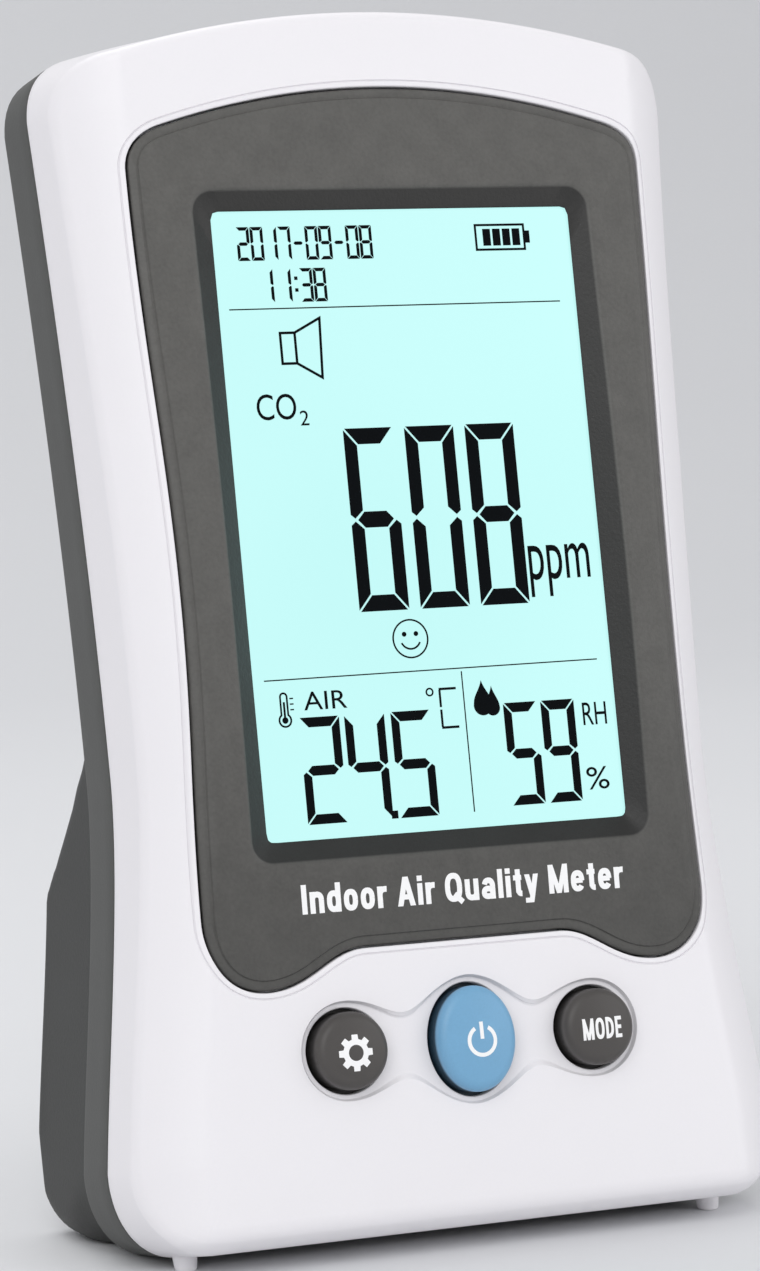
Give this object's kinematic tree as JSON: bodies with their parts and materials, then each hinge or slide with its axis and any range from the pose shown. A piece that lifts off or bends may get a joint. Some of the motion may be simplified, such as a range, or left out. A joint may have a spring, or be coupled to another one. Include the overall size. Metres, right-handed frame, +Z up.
{
  "type": "carbon dioxide monitor",
  "caption": "Desk-top air quality monitor with a tall backlit display, push buttons under it and a swollen rear foot that leans it back.",
  "frame": {"origin": "on the ground, in the middle of the box round the standing monitor", "axes": "+Z up, -Y the way the display faces, +X to the right of somebody reading the display"},
  "size_m": [0.0906, 0.0492, 0.1558],
  "materials": {
    "white_shell": "fine satin moulding",
    "graphite_shell": "fine matte texture",
    "bezel": "fine spark-eroded matte texture",
    "dark_cap": "satin",
    "blue_cap": "satin",
    "display_glass": "smooth, lit from behind",
    "diffuser": "milky",
    "holder": "plain moulding",
    "contact_strip": "striped conductive rubber",
    "circuit_board": "green solder resist",
    "component_black": "moulded epoxy",
    "switch_black": "moulded nylon",
    "plunger_white": "moulded nylon",
    "steel": "plated",
    "gold_chamber": "gilded",
    "filter_white": "woven dust filter",
    "cell_foil": "laminated foil",
    "foam": "closed-cell foam",
    "blank_label": "silver film, blank",
    "connector_white": "moulded nylon",
    "lead_red": "lead sleeve",
    "lead_black": "lead sleeve"
  },
  "bodies": {
    "case": {"front_shell": "white_shell", "rear_shell": "graphite_shell", "rating_label": "blank_label", "vent_filter": "filter_white", "display_bezel": "bezel", "lcd_panel": "display_glass", "backlight_panel": "diffuser", "display_holder": "holder", "lcd_contact_strip": "contact_strip", "settings_switch_body": "switch_black", "power_switch_body": "switch_black", "mode_switch_body": "switch_black", "main_board": "circuit_board", "controller_chip": "component_black", "charger_chip": "component_black", "alarm_buzzer": "component_black", "climate_sensor_board": "circuit_board", "climate_sensor": "connector_white", "usb_socket": "steel", "co2_sensor_header": "component_black", "co2_sensor_board": "circuit_board", "co2_sensor_chamber": "gold_chamber", "co2_sensor_filter": "filter_white", "battery_cell": "cell_foil", "battery_pad": "foam", "battery_socket": "connector_white", "battery_plug": "connector_white", "battery_lead_red": "lead_red", "battery_lead_black": "lead_black", "case_screw_top_left": "steel", "case_screw_top_right": "steel", "case_screw_bottom_left": "steel", "case_screw_bottom_right": "steel", "board_screw_top_left": "steel", "board_screw_top_right": "steel", "board_screw_bottom_left": "steel", "board_screw_bottom_right": "steel"},
    "settings_cap": {"settings_button": "dark_cap"},
    "power_cap": {"power_button": "blue_cap"},
    "mode_cap": {"mode_button": "dark_cap"},
    "settings_plunger": {"settings_switch_plunger": "plunger_white"},
    "power_plunger": {"power_switch_plunger": "plunger_white"},
    "mode_plunger": {"mode_switch_plunger": "plunger_white"}
  },
  "joints": [
    {"name": "settings_press", "type": "slide", "parent": "case", "child": "settings_cap", "axis": [0, 0.9848, -0.1736], "range_m": [0, 0.00075], "stiffness_N_per_m": 400},
    {"name": "power_press", "type": "slide", "parent": "case", "child": "power_cap", "axis": [0, 0.9848, -0.1736], "range_m": [0, 0.00075], "stiffness_N_per_m": 400},
    {"name": "mode_press", "type": "slide", "parent": "case", "child": "mode_cap", "axis": [0, 0.9848, -0.1736], "range_m": [0, 0.00075], "stiffness_N_per_m": 400},
    {"name": "settings_plunger_press", "type": "slide", "parent": "case", "child": "settings_plunger", "axis": [0, 0.9848, -0.1736], "range_m": [0, 0.0005], "stiffness_N_per_m": 10},
    {"name": "power_plunger_press", "type": "slide", "parent": "case", "child": "power_plunger", "axis": [0, 0.9848, -0.1736], "range_m": [0, 0.0005], "stiffness_N_per_m": 10},
    {"name": "mode_plunger_press", "type": "slide", "parent": "case", "child": "mode_plunger", "axis": [0, 0.9848, -0.1736], "range_m": [0, 0.0005], "stiffness_N_per_m": 10}
  ],
  "couplings": [
    {"joint": "settings_plunger_press", "follows": "settings_press", "ratio": 0.64},
    {"joint": "power_plunger_press", "follows": "power_press", "ratio": 0.64},
    {"joint": "mode_plunger_press", "follows": "mode_press", "ratio": 0.64}
  ]
}
